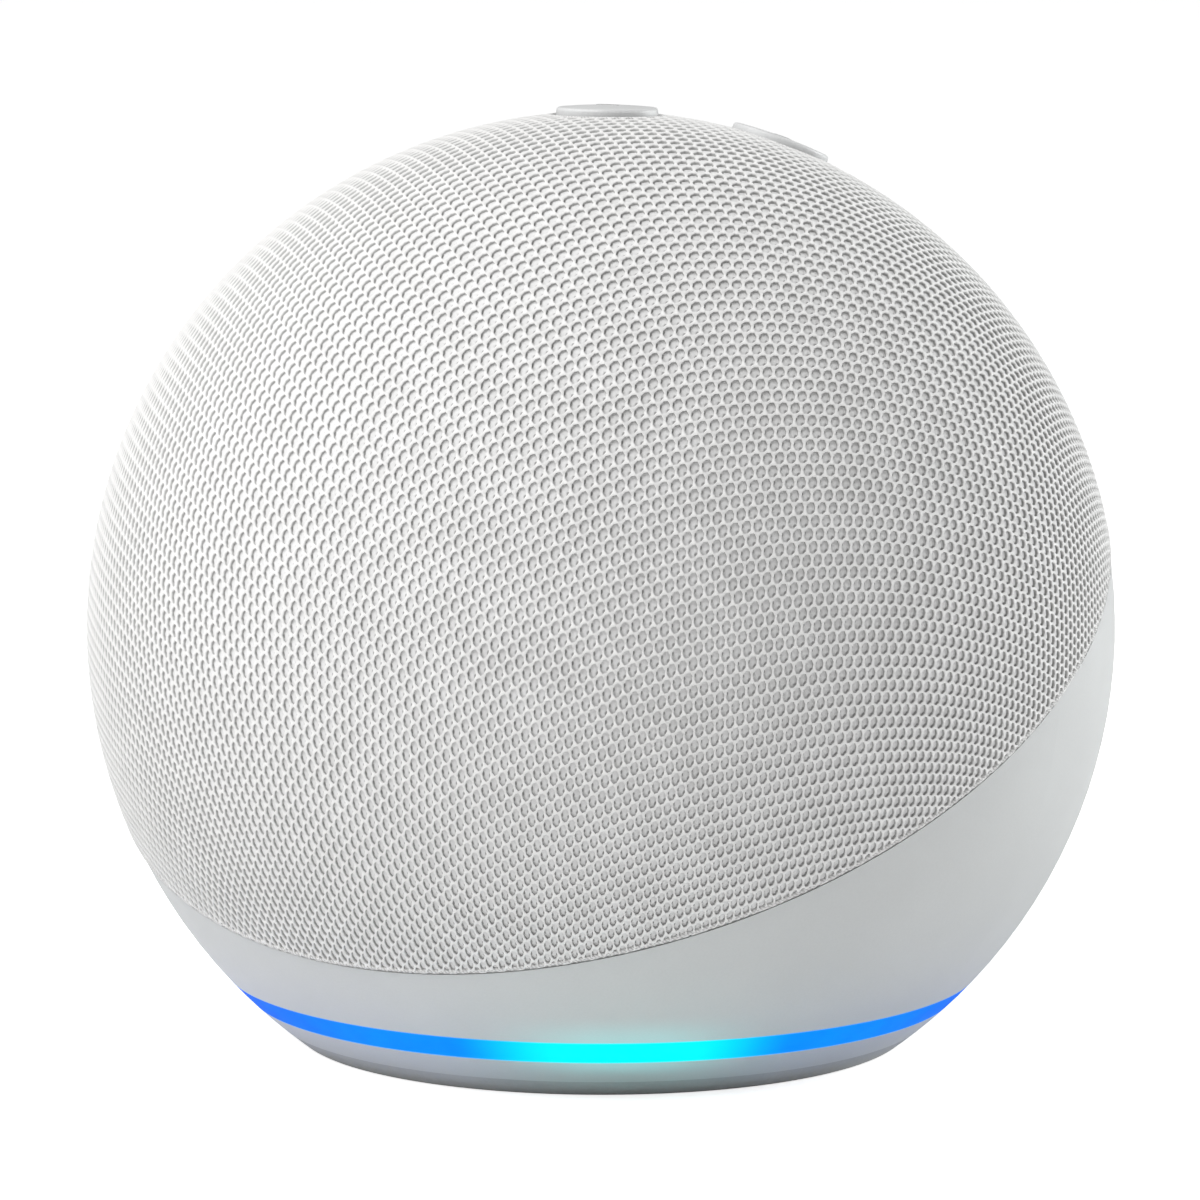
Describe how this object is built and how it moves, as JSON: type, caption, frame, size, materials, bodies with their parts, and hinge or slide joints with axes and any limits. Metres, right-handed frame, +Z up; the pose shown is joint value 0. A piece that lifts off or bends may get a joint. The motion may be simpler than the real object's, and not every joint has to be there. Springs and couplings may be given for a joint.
{
  "type": "smart speaker",
  "caption": "Ball-shaped table speaker with a knitted fabric front, a light ring round its foot and press buttons on its crown.",
  "frame": {"origin": "centre of the base, on the surface that the speaker stands on", "axes": "+Z up, -Y towards the fabric front, +X to the right of a person who faces the front"},
  "size_m": [0.0994, 0.0992, 0.0901],
  "materials": {
    "fabric": "open honeycomb knit, off-white",
    "shell_plastic": "matt moulded plastic",
    "housing_plastic": "satin light grey moulded plastic with a fine grain",
    "diffuser": "translucent light ring, lit cyan",
    "foot_rubber": "matt grey rubber",
    "steel_screw": "zinc plated",
    "circuit_board": "green solder mask",
    "led_package": "white package",
    "tinned_steel": "tinned",
    "silicone": "soft thermal pad",
    "aluminium_plate": "mill finish",
    "black_plastic": "black",
    "inlet_plastic": "dark grey satin",
    "foam_rubber": "black rubber",
    "basket_steel": "black plated steel",
    "magnet": "ferrite",
    "copper_coil": "enamelled wire",
    "cone_paper": "coated pulp",
    "spider_cloth": "impregnated cloth",
    "lead_jacket": "black jacket",
    "flex_film": "amber film",
    "button_plastic": "smooth satin light grey"
  },
  "bodies": {
    "root": {"fabric_cover": "fabric", "grille_shell": "shell_plastic", "lower_housing": "housing_plastic", "light_ring": "diffuser", "base_plate": "housing_plastic", "rubber_foot": "foot_rubber", "base_screws": "steel_screw", "led_board": "circuit_board", "leds": "led_package", "main_board": "circuit_board", "shield_can": "tinned_steel", "thermal_pad": "silicone", "heat_spreader": "aluminium_plate", "board_screws": "steel_screw", "power_jack": "black_plastic", "inlet_bezel": "inlet_plastic", "board_connectors": "black_plastic", "enclosure_front": "shell_plastic", "enclosure_gasket": "foam_rubber", "enclosure_rear": "shell_plastic", "enclosure_screws": "steel_screw", "driver_basket": "basket_steel", "driver_screws": "steel_screw", "top_plate": "basket_steel", "driver_magnet": "magnet", "driver_yoke": "basket_steel", "driver_terminals": "circuit_board", "surround": "foam_rubber", "spider": "spider_cloth", "lead_grommet": "foam_rubber", "speaker_leads": "lead_jacket", "keypad_flex": "flex_film", "button_guide": "shell_plastic", "keypad_board": "circuit_board", "tactile_switches": "tinned_steel", "microphones": "tinned_steel", "keypad_screws": "steel_screw"},
    "action_button": {"action_button": "button_plastic"},
    "volume_up_button": {"volume_up_button": "button_plastic"},
    "microphone_button": {"microphone_button": "button_plastic"},
    "volume_down_button": {"volume_down_button": "button_plastic"},
    "cone": {"cone": "cone_paper", "dust_cap": "cone_paper", "voice_coil": "copper_coil"}
  },
  "joints": [
    {"name": "action_press", "type": "slide", "parent": "root", "child": "action_button", "axis": [0.2487, 0.2588, 0.9334], "range_m": [-0.0003, 0], "stiffness_N_per_m": 400, "springref_m": 0.00055},
    {"name": "volume_up_press", "type": "slide", "parent": "root", "child": "volume_up_button", "axis": [0, 0.4985, 0.8669], "range_m": [-0.0003, 0], "stiffness_N_per_m": 400, "springref_m": 0.00055},
    {"name": "microphone_press", "type": "slide", "parent": "root", "child": "microphone_button", "axis": [-0.2487, 0.2588, 0.9334], "range_m": [-0.0003, 0], "stiffness_N_per_m": 400, "springref_m": 0.00055},
    {"name": "volume_down_press", "type": "slide", "parent": "root", "child": "volume_down_button", "axis": [0, 0.0192, 0.9998], "range_m": [-0.0003, 0], "stiffness_N_per_m": 400, "springref_m": 0.00055},
    {"name": "cone_travel", "type": "slide", "parent": "root", "child": "cone", "axis": [0, -1, 0], "range_m": [-0.0015, 0.0015], "stiffness_N_per_m": 1100, "deforming": ["surround", "spider"]}
  ]
}
